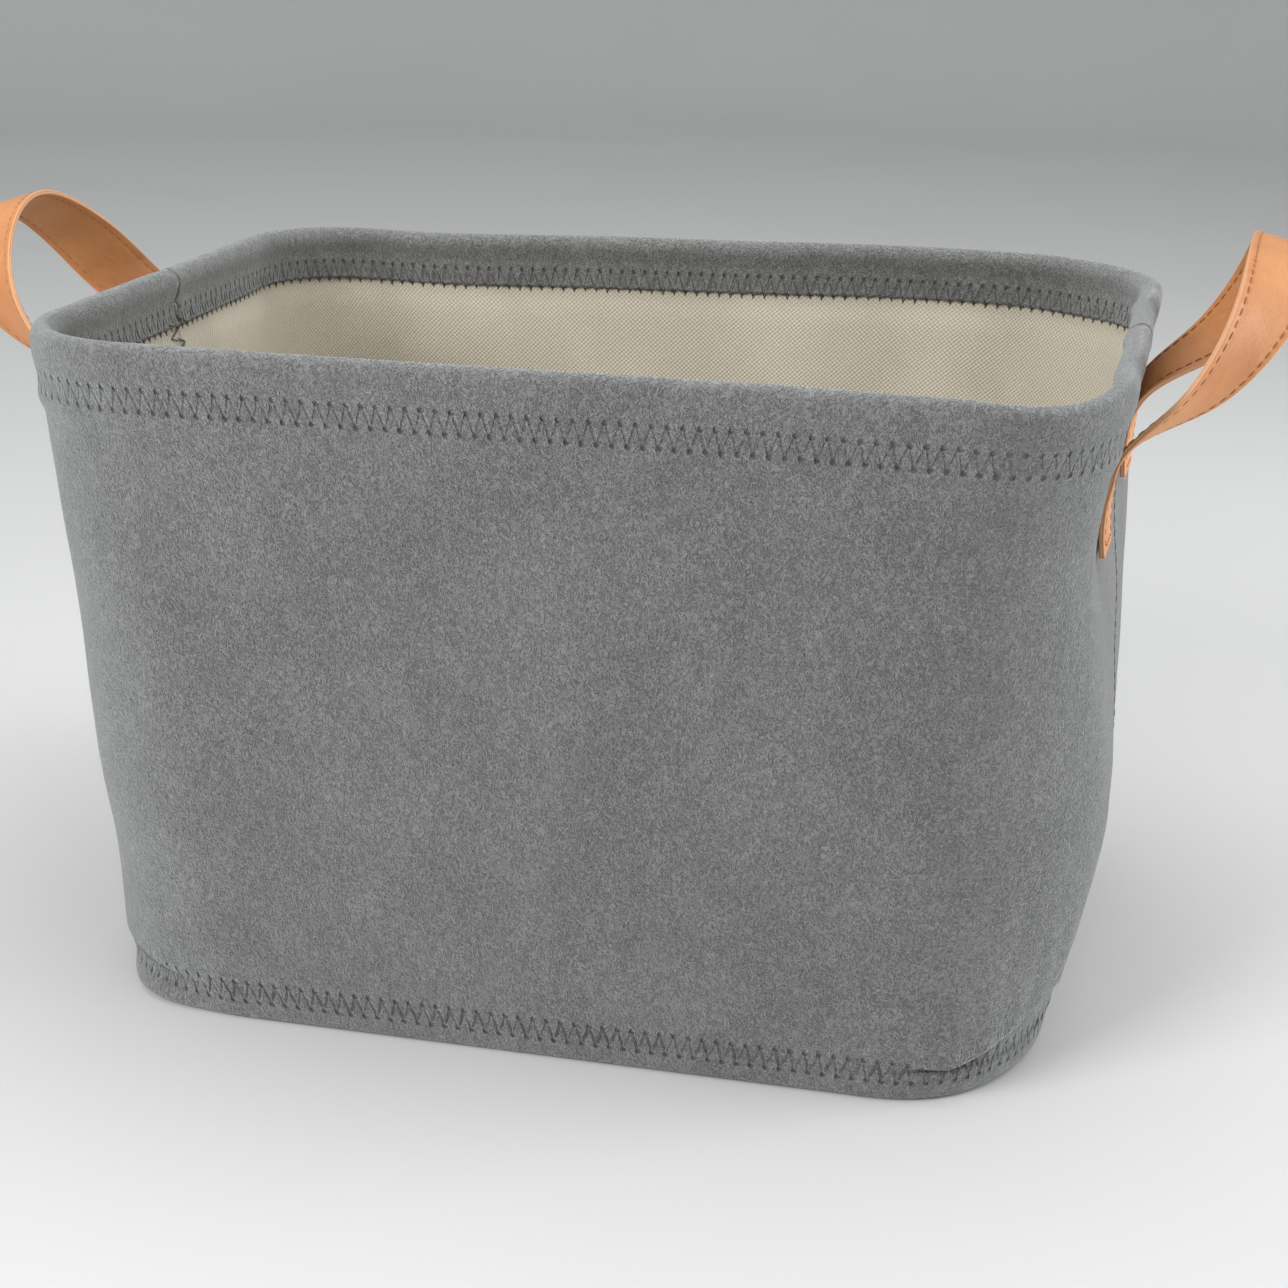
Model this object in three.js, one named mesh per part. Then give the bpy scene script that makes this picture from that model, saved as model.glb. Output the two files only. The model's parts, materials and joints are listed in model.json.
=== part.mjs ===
// Fabric storage bin: an open, slightly tapered box of soft velour over a stiff interlining,
// with a beige lining, a steel wire in its rolled rim and a leather strap loop on each short side.
// Millimetres, +Z up. The origin is the centre of the base, on the surface that the bin stands on.
// +X runs along the long side, so the strap loops are on the +X and -X walls.
import * as THREE from 'three';

// Driving dimensions of the bin body, over the outside of the fabric.
const HEIGHT = 245;
const RIM_LENGTH = 380;
const RIM_DEPTH = 284;
const BASE_LENGTH = 357;
const BASE_DEPTH = 268;
const RIM_CORNER_RADIUS = 54;
const BASE_CORNER_RADIUS = 69;

// The soft walls swell near the base and draw in below the rim.
const SHORT_WALL_SWELL = 2;
const LONG_WALL_SWELL = 1.5;

// Layers of the wall, from the outside in, with the air left between two of them.
const GAP = 0.3;
const VELOUR = 1.5;
const INTERLINING = 1.2;
const LINING = 0.6;
const INTERLINING_INSET = VELOUR + GAP;
const LINING_INSET = INTERLINING_INSET + INTERLINING + GAP;
const HEM_INSET = LINING_INSET + LINING + GAP;

// Rim roll and folded hem.
const WIRE_RADIUS = 1.6;
const SLEEVE_INNER_RADIUS = 1.9;
const SLEEVE_OUTER_RADIUS = 2.5;
const SLEEVE_LENGTH = 40;
const SLEEVE_MIDDLE_Y = 22;
const WIRE_END_GAP = 1;
const ROLL_RADIUS = 4.3;
const ROLL_HEIGHT = HEIGHT - ROLL_RADIUS;
const HEM_TOP = 233;
const HEM_EDGE = 222.5;
const WALL_LAYER_TOP = 236;

// Base.
const FLANGE_TOP = 11.7;
const WALL_BOTTOM = FLANGE_TOP + GAP;
const BASE_BEND_RADIUS = 5;
const BOARD = 2;
const BOARD_INSET = 3.9;
const BASE_LINING_INSET = 2.2;
const BOARD_BOTTOM = VELOUR + GAP;
const BASE_LINING_BOTTOM = BOARD_BOTTOM + BOARD + GAP;
const WALL_LAYER_BOTTOM = BASE_LINING_BOTTOM + LINING + GAP;

// Leather straps: two layers each, sewn flat to the wall below the line where the loop swings.
const STRAP_WIDTH = 25;
const STRAP_LAYER = 1;
const STRAP_SPREAD = 56;
const STRAP_END_BOTTOM = 174;
const SWING_HEIGHT = 203;
const SWING_CLEARANCE = 0.4;
const STRAP_DROOP = THREE.MathUtils.degToRad(14);
const TWIST_START = 0.04;
const TWIST_EASE = 0.8;

// Points on one half of each loop's centre line, from the wall to the top of the arch:
// distance out from the wall, distance from the middle of the wall, height above the swing line.
const LOOP_POINTS = {
  right: [[0, 56, 0.4], [1.5, 56, 5], [22, 57, 27], [45, 43, 64], [47, 0, 74]],
  left: [[0, 56, 0.4], [1.5, 56, 4.5], [22, 55, 17], [50, 44, 41], [62, 0, 65]],
};

// Zigzag seams in thick thread. The needle thread shows outside and the bobbin thread inside.
const THREAD_RADIUS = 0.35;
const STITCH_STEP = 2.5;
const RIM_SEAM = [223.5, 230.5];
const BASE_SEAM = [8, 15.5];
const SIDE_SEAM_HALF_WIDTH = 3;
const SIDE_SEAM_BOTTOM = 19;
const SIDE_SEAM_TOP = 219;

// Fineness of the curved surfaces.
const CORNER_STEPS = 8;
const ROLL_STEPS = 6;
const BEND_STEPS = 4;
const WIRE_SIDES = 8;
const SLEEVE_SIDES = 16;
const LOOP_STEPS = 44;

// Heights at which every wall layer has a ring of points, so that the layers stay parallel.
const WALL_HEIGHTS = [44, 76, 108, 141, STRAP_END_BOTTOM, SWING_HEIGHT, HEM_EDGE, HEM_TOP];

const COLOURS = {
  velour: 0x858583,
  interlining: 0xe6e4de,
  lining: 0xbbb4a4,
  steel: 0xb9bcc0,
  board: 0xa08a6c,
  leather: 0xdfa576,
  leatherBack: 0xb9794a,
  thread: 0x46443f,
};

const bin = new THREE.Group();

// Outer surface of the bin at one height, as half sizes and a corner radius.
function outlineAt(z) {
  const share = z / HEIGHT;
  const swell = Math.sin(2 * Math.PI * share);
  return {
    halfLength: THREE.MathUtils.lerp(BASE_LENGTH, RIM_LENGTH, share) / 2 + SHORT_WALL_SWELL * swell,
    halfDepth: THREE.MathUtils.lerp(BASE_DEPTH, RIM_DEPTH, share) / 2 + LONG_WALL_SWELL * swell,
    radius: THREE.MathUtils.lerp(BASE_CORNER_RADIUS, RIM_CORNER_RADIUS, share),
  };
}

// A station is a place on the outline that keeps its meaning at every height: a point of a rounded
// corner, or a point of a long or short wall at a fixed distance from the wall's middle.
function stationPoint(station, z, inset) {
  const { halfLength, halfDepth, radius } = outlineAt(z);
  if (station.kind === 'corner') {
    const reach = radius - inset;
    const x = station.sideX * (halfLength - radius) + reach * Math.cos(station.angle);
    const y = station.sideY * (halfDepth - radius) + reach * Math.sin(station.angle);
    return new THREE.Vector3(x, y, z);
  }
  if (station.kind === 'longWall') {
    return new THREE.Vector3(station.x, station.sideY * (halfDepth - inset), z);
  }
  return new THREE.Vector3(station.sideX * (halfLength - inset), station.y, z);
}

function cornerStations(sideX, sideY, startAngle) {
  const stations = [];
  for (let step = 0; step <= CORNER_STEPS; step += 1) {
    const angle = startAngle + (step / CORNER_STEPS) * (Math.PI / 2);
    stations.push({ kind: 'corner', sideX, sideY, angle });
  }
  return stations;
}

// Half of the outline, anticlockwise seen from above, from one side seam to the other.
function halfStations(sideY, seamGap) {
  const firstSide = sideY;
  const startAngle = sideY < 0 ? Math.PI : 0;
  const seamY = (sideY * seamGap) / 2;
  return [
    { kind: 'shortWall', sideX: firstSide, y: seamY },
    ...cornerStations(firstSide, sideY, startAngle),
    { kind: 'longWall', sideY, x: 0 },
    ...cornerStations(-firstSide, sideY, startAngle + Math.PI / 2),
    { kind: 'shortWall', sideX: -firstSide, y: seamY },
  ];
}

function ringStations() {
  return [
    ...cornerStations(1, 1, 0),
    { kind: 'longWall', sideY: 1, x: 0 },
    ...cornerStations(-1, 1, Math.PI / 2),
    ...cornerStations(-1, -1, Math.PI),
    { kind: 'longWall', sideY: -1, x: 0 },
    ...cornerStations(1, -1, 1.5 * Math.PI),
  ];
}

// Stations at even distances all the way round the outline at one height, an even number of them.
function evenStations(z, spacing) {
  const { halfLength, halfDepth, radius } = outlineAt(z);
  const straightX = halfLength - radius;
  const straightY = halfDepth - radius;
  const runs = [];
  for (const [sideX, sideY, angle] of [[1, 1, 0], [-1, 1, 90], [-1, -1, 180], [1, -1, 270]]) {
    const start = THREE.MathUtils.degToRad(angle);
    runs.push({
      length: (Math.PI / 2) * radius,
      at: (walked) => ({ kind: 'corner', sideX, sideY, angle: start + walked / radius }),
    });
    if (sideX === sideY) {
      const straight = (walked) => ({ kind: 'longWall', sideY, x: sideX * (straightX - walked) });
      runs.push({ length: 2 * straightX, at: straight });
    } else {
      const straight = (walked) => ({ kind: 'shortWall', sideX, y: sideY * (straightY - walked) });
      runs.push({ length: 2 * straightY, at: straight });
    }
  }
  const perimeter = runs.reduce((sum, run) => sum + run.length, 0);
  const count = 2 * Math.round(perimeter / (2 * spacing));
  const stations = [];
  let run = 0;
  let passed = 0;
  for (let index = 0; index < count; index += 1) {
    const distance = (index * perimeter) / count;
    while (distance > passed + runs[run].length) {
      passed += runs[run].length;
      run += 1;
    }
    stations.push(runs[run].at(distance - passed));
  }
  return stations;
}

function signedVolume(points, triangles) {
  let volume = 0;
  for (const [a, b, c] of triangles) {
    volume += points[a].dot(new THREE.Vector3().crossVectors(points[b], points[c])) / 6;
  }
  return volume;
}

// Triangles that fill an outline, turning the same way round as the outline itself.
function capTriangles(outline) {
  const triangles = THREE.ShapeUtils.triangulateShape(outline, []);
  const first = triangles[0].map((index) => outline[index]);
  const turnsAlike = THREE.ShapeUtils.isClockWise(first) === THREE.ShapeUtils.isClockWise(outline);
  return turnsAlike ? triangles : triangles.map(([a, b, c]) => [c, b, a]);
}

// Skin over a row of closed rings of points, with a cap on the first and the last ring, or without
// one where the row of rings closes on itself. The second
// half of each ring runs back along the first, and its faces are split along the same diagonals, so
// that both sides of a thin twisted layer stay parallel.
function skinGeometry(rings, cap) {
  const count = rings[0].length;
  const points = rings.flat();
  const triangles = [];
  const spans = cap ? rings.length - 1 : rings.length;
  for (let row = 0; row < spans; row += 1) {
    const nextRow = (row + 1) % rings.length;
    for (let column = 0; column < count; column += 1) {
      const next = (column + 1) % count;
      const a = row * count + column;
      const b = row * count + next;
      const c = nextRow * count + next;
      const d = nextRow * count + column;
      if (column < count / 2) {
        triangles.push([a, b, c], [a, c, d]);
      } else {
        triangles.push([a, b, d], [b, c, d]);
      }
    }
  }
  const last = (rings.length - 1) * count;
  for (const [a, b, c] of cap ?? []) {
    triangles.push([c, b, a], [last + a, last + b, last + c]);
  }
  if (signedVolume(points, triangles) < 0) {
    triangles.forEach((triangle) => triangle.reverse());
  }
  const geometry = new THREE.BufferGeometry();
  geometry.setFromPoints(points);
  geometry.setIndex(triangles.flat());
  geometry.computeVertexNormals();
  return geometry;
}

// A wall layer: a closed profile of [inset, height] points carried along a row of stations.
function wallGeometry(stations, profile) {
  const rings = stations.map((station) => profile.map(([inset, z]) => stationPoint(station, z, inset)));
  const flat = profile.map(([inset, z]) => new THREE.Vector2(inset, z));
  return skinGeometry(rings, capTriangles(flat));
}

// A layer lying on the base or turned up around it: whole outlines, one for each profile point.
function baseGeometry(profile) {
  const stations = ringStations();
  const rings = profile.map(([inset, z]) => stations.map((station) => stationPoint(station, z, inset)));
  const flat = rings[0].map((point) => new THREE.Vector2(point.x, point.y));
  return skinGeometry(rings, capTriangles(flat));
}

function arcProfile(centre, radius, startAngle, endAngle, steps) {
  const points = [];
  for (let step = 0; step <= steps; step += 1) {
    const angle = THREE.MathUtils.lerp(startAngle, endAngle, step / steps);
    points.push([centre[0] + radius * Math.cos(angle), centre[1] + radius * Math.sin(angle)]);
  }
  return points;
}

function addPart(name, geometry, colour, roughness, metalness = 0) {
  const material = new THREE.MeshStandardMaterial({ color: colour, roughness, metalness });
  const mesh = new THREE.Mesh(geometry, material);
  mesh.name = name;
  bin.add(mesh);
}

// Outer velour: up the outside, over the wire and down the inside to the raw edge of the hem.
function outerPanelProfile() {
  const centre = [ROLL_RADIUS, ROLL_HEIGHT];
  const outside = [WALL_BOTTOM, ...WALL_HEIGHTS].map((z) => [0, z]);
  const inside = [WALL_BOTTOM, ...WALL_HEIGHTS].map((z) => [VELOUR, z]).reverse();
  return [
    ...outside,
    ...arcProfile(centre, ROLL_RADIUS, Math.PI, 0, ROLL_STEPS),
    [HEM_INSET + VELOUR, HEM_TOP],
    [HEM_INSET + VELOUR, HEM_EDGE],
    [HEM_INSET, HEM_EDGE],
    [HEM_INSET, HEM_TOP],
    ...arcProfile(centre, ROLL_RADIUS - VELOUR, 0, Math.PI, ROLL_STEPS),
    ...inside,
  ];
}

function sheetProfile(inset, thickness) {
  const heights = [WALL_LAYER_BOTTOM, WALL_BOTTOM, ...WALL_HEIGHTS, WALL_LAYER_TOP];
  const outside = heights.map((z) => [inset, z]);
  const inside = heights.map((z) => [inset + thickness, z]).reverse();
  return [...outside, ...inside];
}

function addWalls() {
  for (const [half, sideY] of [['front', -1], ['back', 1]]) {
    const stations = halfStations(sideY, GAP);
    addPart(`${half}_outer_panel`, wallGeometry(stations, outerPanelProfile()), COLOURS.velour, 0.95);
    const interlining = sheetProfile(INTERLINING_INSET, INTERLINING);
    addPart(`${half}_interlining`, wallGeometry(stations, interlining), COLOURS.interlining, 0.9);
    const lining = sheetProfile(LINING_INSET, LINING);
    addPart(`${half}_lining`, wallGeometry(stations, lining), COLOURS.lining, 0.9);
  }
}

function addBase() {
  const bend = [BASE_BEND_RADIUS, BASE_BEND_RADIUS];
  const tray = [
    ...arcProfile(bend, BASE_BEND_RADIUS, 1.5 * Math.PI, Math.PI, BEND_STEPS),
    [0, FLANGE_TOP],
    [VELOUR, FLANGE_TOP],
    ...arcProfile(bend, BASE_BEND_RADIUS - VELOUR, Math.PI, 1.5 * Math.PI, BEND_STEPS),
  ];
  addPart('base_panel', baseGeometry(tray), COLOURS.velour, 0.95);
  const board = [[BOARD_INSET, BOARD_BOTTOM], [BOARD_INSET, BOARD_BOTTOM + BOARD]];
  addPart('base_board', baseGeometry(board), COLOURS.board, 0.85);
  const liningTop = BASE_LINING_BOTTOM + LINING;
  const lining = [[BASE_LINING_INSET, BASE_LINING_BOTTOM], [BASE_LINING_INSET, liningTop]];
  addPart('base_lining', baseGeometry(lining), COLOURS.lining, 0.9);
}

// The wire is one loop whose two ends meet inside the crimped sleeve, near the middle of the +X side.
function addRimWire() {
  const wireProfile = arcProfile([ROLL_RADIUS, ROLL_HEIGHT], WIRE_RADIUS, 0, 2 * Math.PI, WIRE_SIDES);
  wireProfile.pop();
  const stations = [
    { kind: 'shortWall', sideX: 1, y: SLEEVE_MIDDLE_Y + WIRE_END_GAP / 2 },
    ...ringStations(),
    { kind: 'shortWall', sideX: 1, y: SLEEVE_MIDDLE_Y - WIRE_END_GAP / 2 },
  ];
  addPart('rim_wire', wallGeometry(stations, wireProfile), COLOURS.steel, 0.35, 1);
  const sleeveProfile = [
    new THREE.Vector2(SLEEVE_INNER_RADIUS, -SLEEVE_LENGTH / 2),
    new THREE.Vector2(SLEEVE_OUTER_RADIUS, -SLEEVE_LENGTH / 2),
    new THREE.Vector2(SLEEVE_OUTER_RADIUS, SLEEVE_LENGTH / 2),
    new THREE.Vector2(SLEEVE_INNER_RADIUS, SLEEVE_LENGTH / 2),
    new THREE.Vector2(SLEEVE_INNER_RADIUS, -SLEEVE_LENGTH / 2),
  ];
  const sleeve = new THREE.LatheGeometry(sleeveProfile, SLEEVE_SIDES);
  const rim = outlineAt(ROLL_HEIGHT);
  sleeve.translate(rim.halfLength - ROLL_RADIUS, SLEEVE_MIDDLE_Y, ROLL_HEIGHT);
  addPart('rim_wire_sleeve', sleeve, COLOURS.steel, 0.4, 1);
}

// Thread run of a zigzag, three-sided, mitred at each turn. The mitre runs along the seam's width.
function zigzagGeometry(stations, heights, inset, widthAxis, strokeWidth, closed) {
  const strokeAngle = Math.atan2(STITCH_STEP, strokeWidth);
  const mitre = (THREAD_RADIUS * Math.sin(Math.PI / 3)) / Math.sin(strokeAngle);
  const rings = stations.map((station, index) => {
    const centre = stationPoint(station, heights[index], inset);
    const outward = stationPoint(station, heights[index], inset - 1).sub(centre);
    const back = centre.clone().addScaledVector(outward, -THREAD_RADIUS / 2);
    return [
      centre.clone().addScaledVector(outward, THREAD_RADIUS),
      back.clone().addScaledVector(widthAxis, mitre),
      back.clone().addScaledVector(widthAxis, -mitre),
    ];
  });
  return skinGeometry(rings, closed ? null : [[0, 1, 2]]);
}

// A zigzag all the way round between two heights.
function ringSeamGeometry([low, high], inset) {
  const stations = evenStations((low + high) / 2, STITCH_STEP);
  const heights = stations.map((station, index) => (index % 2 === 0 ? high : low));
  return zigzagGeometry(stations, heights, inset, new THREE.Vector3(0, 0, 1), high - low, true);
}

// A zigzag up the middle of a short wall.
function sideSeamGeometry(sideX, inset) {
  const stations = [];
  const heights = [];
  for (let z = SIDE_SEAM_BOTTOM; z <= SIDE_SEAM_TOP; z += STITCH_STEP) {
    const side = stations.length % 2 === 0 ? 1 : -1;
    stations.push({ kind: 'shortWall', sideX, y: side * SIDE_SEAM_HALF_WIDTH });
    heights.push(z);
  }
  const width = 2 * SIDE_SEAM_HALF_WIDTH;
  return zigzagGeometry(stations, heights, inset, new THREE.Vector3(0, 1, 0), width, false);
}

function addSeams() {
  const outside = -GAP - THREAD_RADIUS;
  const onLining = LINING_INSET + LINING + GAP + THREAD_RADIUS;
  const onHem = HEM_INSET + VELOUR + GAP + THREAD_RADIUS;
  addPart('rim_needle_thread', ringSeamGeometry(RIM_SEAM, outside), COLOURS.thread, 0.8);
  addPart('rim_bobbin_thread', ringSeamGeometry(RIM_SEAM, onHem), COLOURS.thread, 0.8);
  addPart('base_needle_thread', ringSeamGeometry(BASE_SEAM, outside), COLOURS.thread, 0.8);
  for (const [side, sideX] of [['right', 1], ['left', -1]]) {
    addPart(`${side}_seam_thread`, sideSeamGeometry(sideX, outside), COLOURS.thread, 0.8);
    addPart(`${side}_lining_seam_thread`, sideSeamGeometry(sideX, onLining), COLOURS.thread, 0.8);
  }
}

// Corners of one strap layer's section: across the strap, and between two distances from its middle.
function strapRing(centre, across, normal, near, far) {
  const half = STRAP_WIDTH / 2;
  return [[-half, near], [half, near], [half, far], [-half, far]].map(([side, depth]) => (
    centre.clone().addScaledVector(across, side).addScaledVector(normal, depth)
  ));
}

const STRAP_LAYERS = {
  outer: [GAP / 2, GAP / 2 + STRAP_LAYER],
  inner: [-GAP / 2 - STRAP_LAYER, -GAP / 2],
};
const SECTION_CAP = [[0, 1, 2], [0, 2, 3]];

// Middle of the strap's thickness on the short wall, at one height.
function strapPlane(z) {
  return outlineAt(z).halfLength + GAP + STRAP_LAYER + GAP / 2;
}

// The sewn end of a strap, flat on the wall.
function strapEndGeometry(sideX, sideY, [near, far]) {
  const heights = [STRAP_END_BOTTOM, SWING_HEIGHT - SWING_CLEARANCE];
  const across = new THREE.Vector3(0, 1, 0);
  const normal = new THREE.Vector3(sideX, 0, 0);
  const low = new THREE.Vector3(strapPlane(STRAP_END_BOTTOM), 0, STRAP_END_BOTTOM);
  const high = new THREE.Vector3(strapPlane(SWING_HEIGHT), 0, SWING_HEIGHT);
  const rings = heights.map((z) => {
    const share = (z - low.z) / (high.z - low.z);
    const centre = low.clone().lerp(high, share);
    centre.set(sideX * centre.x, sideY * STRAP_SPREAD, z);
    return strapRing(centre, across, normal, near, far);
  });
  return skinGeometry(rings, SECTION_CAP);
}

// Centre line of a loop, from its front end over the arch to its back end.
function loopCurve(sideX, halfPoints) {
  const place = ([out, along, up], sideY) => (
    new THREE.Vector3(sideX * (strapPlane(SWING_HEIGHT) + out), sideY * along, SWING_HEIGHT + up)
  );
  const front = halfPoints.map((point) => place(point, -1));
  const back = halfPoints.slice(0, -1).reverse().map((point) => place(point, 1));
  return new THREE.CatmullRomCurve3([...front, ...back], false, 'centripetal');
}

// The strap leaves the wall lying flat against it and turns until, at the top of the arch,
// its width points straight out from the bin and droops a little.
function loopGeometry(sideX, halfPoints, [near, far]) {
  const curve = loopCurve(sideX, halfPoints);
  const rings = [];
  for (let step = 0; step <= LOOP_STEPS; step += 1) {
    const along = step / LOOP_STEPS;
    const fromWall = 1 - Math.abs(2 * along - 1);
    const twisted = Math.max(0, (fromWall - TWIST_START) / (1 - TWIST_START));
    const turn = (Math.PI / 2) * twisted ** TWIST_EASE;
    const frontOrBack = along < 0.5 ? -1 : 1;
    const tangent = curve.getTangentAt(along);
    const across = new THREE.Vector3(
      -sideX * Math.sin(turn) * Math.cos(STRAP_DROOP),
      frontOrBack * Math.cos(turn),
      Math.sin(turn) * Math.sin(STRAP_DROOP),
    );
    across.addScaledVector(tangent, -across.dot(tangent)).normalize();
    const normal = new THREE.Vector3().crossVectors(tangent, across).multiplyScalar(sideX);
    rings.push(strapRing(curve.getPointAt(along), across, normal, near, far));
  }
  return skinGeometry(rings, SECTION_CAP);
}

function addStraps() {
  for (const [side, sideX] of [['right', 1], ['left', -1]]) {
    for (const [layer, depths] of Object.entries(STRAP_LAYERS)) {
      const colour = layer === 'outer' ? COLOURS.leather : COLOURS.leatherBack;
      const loop = loopGeometry(sideX, LOOP_POINTS[side], depths);
      addPart(`${side}_strap_loop_${layer}`, loop, colour, 0.6);
      for (const [end, sideY] of [['front', -1], ['back', 1]]) {
        const geometry = strapEndGeometry(sideX, sideY, depths);
        addPart(`${side}_strap_${end}_end_${layer}`, geometry, colour, 0.6);
      }
    }
  }
}

addWalls();
addBase();
addRimWire();
addSeams();
addStraps();

export default bin;
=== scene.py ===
"""Looks of the fabric storage bin: velour walls over a wire rim, lining, zigzag seams, leather straps.

Lengths inside this script are millimetres until a mesh is made. Positions round the bin are told by
s, the distance along a reference outline from the middle of the +X wall, anticlockwise from above.
"""

import json
import math

import bpy
import bmesh
import numpy as np
from mathutils import Matrix, Vector


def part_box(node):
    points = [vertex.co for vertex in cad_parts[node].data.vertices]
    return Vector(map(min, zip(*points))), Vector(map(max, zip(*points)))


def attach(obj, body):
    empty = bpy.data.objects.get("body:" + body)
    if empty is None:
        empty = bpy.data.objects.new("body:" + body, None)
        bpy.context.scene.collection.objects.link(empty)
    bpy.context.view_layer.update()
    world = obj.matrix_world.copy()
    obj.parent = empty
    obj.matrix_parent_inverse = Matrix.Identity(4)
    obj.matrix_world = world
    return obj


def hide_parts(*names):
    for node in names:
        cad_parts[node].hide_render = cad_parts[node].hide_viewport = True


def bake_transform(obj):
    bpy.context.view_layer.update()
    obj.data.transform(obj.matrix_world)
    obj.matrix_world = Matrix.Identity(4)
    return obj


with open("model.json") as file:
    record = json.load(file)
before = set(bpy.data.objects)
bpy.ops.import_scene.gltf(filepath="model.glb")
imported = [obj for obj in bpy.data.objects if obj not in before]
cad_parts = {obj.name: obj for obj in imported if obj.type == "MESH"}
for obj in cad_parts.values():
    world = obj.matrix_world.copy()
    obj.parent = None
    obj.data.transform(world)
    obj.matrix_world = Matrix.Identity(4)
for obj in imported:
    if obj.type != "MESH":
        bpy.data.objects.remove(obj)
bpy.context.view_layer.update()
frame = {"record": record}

MM = 0.001
SCENE = bpy.context.scene

# Outline of the bin, read from the frame where a box tells it.
PANEL_BOX = np.array(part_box("front_outer_panel")) / MM
BASE_BOX = np.array(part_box("base_panel")) / MM
HEIGHT = PANEL_BOX[1][2]
FLANGE_TOP = BASE_BOX[1][2]
RIM_SIZE = (380.0, 284.0, 54.0)
BASE_SIZE = (357.0, 268.0, 69.0)
WALL_SWELL = (2.0, 1.5)

# Reference outline at half height, for the walk round the bin.
REF_X = 122.75
REF_Y = 76.5
REF_RADIUS = 61.5
QUARTER = REF_RADIUS * math.pi / 2
ROUND = 4 * (REF_X + REF_Y + QUARTER)

# Layers, as distances in from the outline.
VELOUR = 1.3
INTERLINING = (1.85, 2.95)
LINING = (3.3, 3.85)
HEM_FACE = 5.9
ROLL = 4.3
ROLL_Z = HEIGHT - ROLL
HEM_EDGE_Z = 223.8
WALL_BOTTOM_Z = 11.2
LAYER_BOTTOM_Z = 5.2
LAYER_TOP_Z = 236.0
LAYER_TUCK = 2.0
BASE_BEND = 2.6
BOARD_INSET = 2.6
BASE_LINING_INSET = 2.3

# The corner fold: height of its crease, the crease's climb, how far the skin stands out and is drawn in.
CREASE_Z = 12.9
CREASE_CLIMB = 20.6
FOLD_OUT = 4.6
FOLD_IN = 2.4

# Rim wire.
WIRE_RADIUS = 1.6
SLEEVE_RADIUS = 2.5
SLEEVE_CRIMP = 0.35
SLEEVE_HALF = 20.0

# Grids: gap beside each side seam, points round a half and round the base, rings across the base,
# heights below and above which the wall has finer rows, points along one stitch.
HALF_SEAM_GAP = 0.15
HALF_COLUMNS = 251
DISC_POINTS = 480
DISC_RINGS = 21
FINE_BELOW = 46
FINE_ABOVE = 212
STITCH_POINTS = 7
UP = np.array([0.0, 0.0, 1.0])

# Zigzag seams.
STITCH = 2.5
THREAD = 0.24
RIM_SEAM = (223.3, 230.6)
RIM_SEAM_IN = (221.3, 230.4)
BASE_SEAM = (7.8, 15.6)
RIM_SEAM_Z = 227.0
BASE_SEAM_Z = 12.0

# Straps.
STRAP_SPREAD = 56.0
STRAP_HALF = 12.5
LEATHER = 1.0
LEG_CLEARANCE = 1.4
STRAP_FOOT_Z = 178.0
STITCH_LINE = 9.9
STITCH_PITCH = 4.1
STITCH_LENGTH = 3.1
JOINTS = {joint["child"]: joint for joint in frame["record"]["behaviour"]["joints"]}
SWING_Z = JOINTS["right_handle"]["pos_m"][2] / MM
# Points of each loop from its front leg to its back leg: out from the swing axis, along the wall, up.
LOOP_POINTS = {
    1: [(15, -58.5, 27), (37.6, -42.7, 62), (43.3, 0, 71.4), (44.2, 42.7, 62), (21.6, 58.5, 27)],
    -1: [(17.5, -52.7, 16.5), (45.8, -44.4, 41), (59.9, 0, 65.5), (48.9, 44.4, 41), (20.6, 52.7, 16.5)],
}
# Degrees that the strap turns and droops on its way to the middle of the loop.
TWISTS = {1: (33, 59), -1: (37, 62)}
DROOP = {1: (19, 11), -1: (10, 18)}

RANDOM = np.random.default_rng(20)


def lerp(a, b, share):
    return a + (b - a) * share


def smooth(low, high, value):
    share = np.clip((value - low) / (high - low), 0, 1)
    return share * share * (3 - 2 * share)


def hump(value, centre, width):
    return np.exp(-(((value - centre) / width) ** 2))


BREAKS = np.cumsum([0, REF_Y, QUARTER, 2 * REF_X, QUARTER, 2 * REF_Y, QUARTER, 2 * REF_X, QUARTER, REF_Y])
TURNS = np.radians([0, 0, 90, 90, 180, 180, 270, 270, 360, 360])
SHARES_X = [1, 1, 1, -1, -1, -1, -1, 1, 1, 1]
SHARES_Y = [0, 1, 1, 1, 1, -1, -1, -1, -1, 0]


def outline_terms(s):
    """Direction of the outward normal, and the corner centre's place between the walls, at s."""
    s = np.mod(s, ROUND)
    return (np.interp(s, BREAKS, TURNS), np.interp(s, BREAKS, SHARES_X), np.interp(s, BREAKS, SHARES_Y))


def outline_at(z):
    """Half length, half depth and corner radius of the bin at a height."""
    share = z / HEIGHT
    swell = np.sin(2 * np.pi * share)
    half_x = lerp(BASE_SIZE[0], RIM_SIZE[0], share) / 2 + WALL_SWELL[0] * swell
    half_y = lerp(BASE_SIZE[1], RIM_SIZE[1], share) / 2 + WALL_SWELL[1] * swell
    return half_x, half_y, lerp(BASE_SIZE[2], RIM_SIZE[2], share)


def lattice_noise(s, z, cell_s, cell_z, seed):
    """Smooth noise from -1 to 1 on the unrolled wall. It closes on itself round the bin."""
    count = max(4, int(round(ROUND / cell_s)))
    rows = int(HEIGHT / cell_z) + 4
    values = np.random.default_rng(seed).uniform(-1, 1, (count, rows))
    a = np.mod(s, ROUND) / ROUND * count
    b = np.clip(z / cell_z, 0, rows - 2.001)
    i, j = np.floor(a).astype(int), np.floor(b).astype(int)
    u, v = a - i, b - j
    u, v = u * u * (3 - 2 * u), v * v * (3 - 2 * v)
    i0, i1 = i % count, (i + 1) % count
    low = lerp(values[i0, j], values[i1, j], u)
    high = lerp(values[i0, j + 1], values[i1, j + 1], u)
    return lerp(low, high, v)


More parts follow.
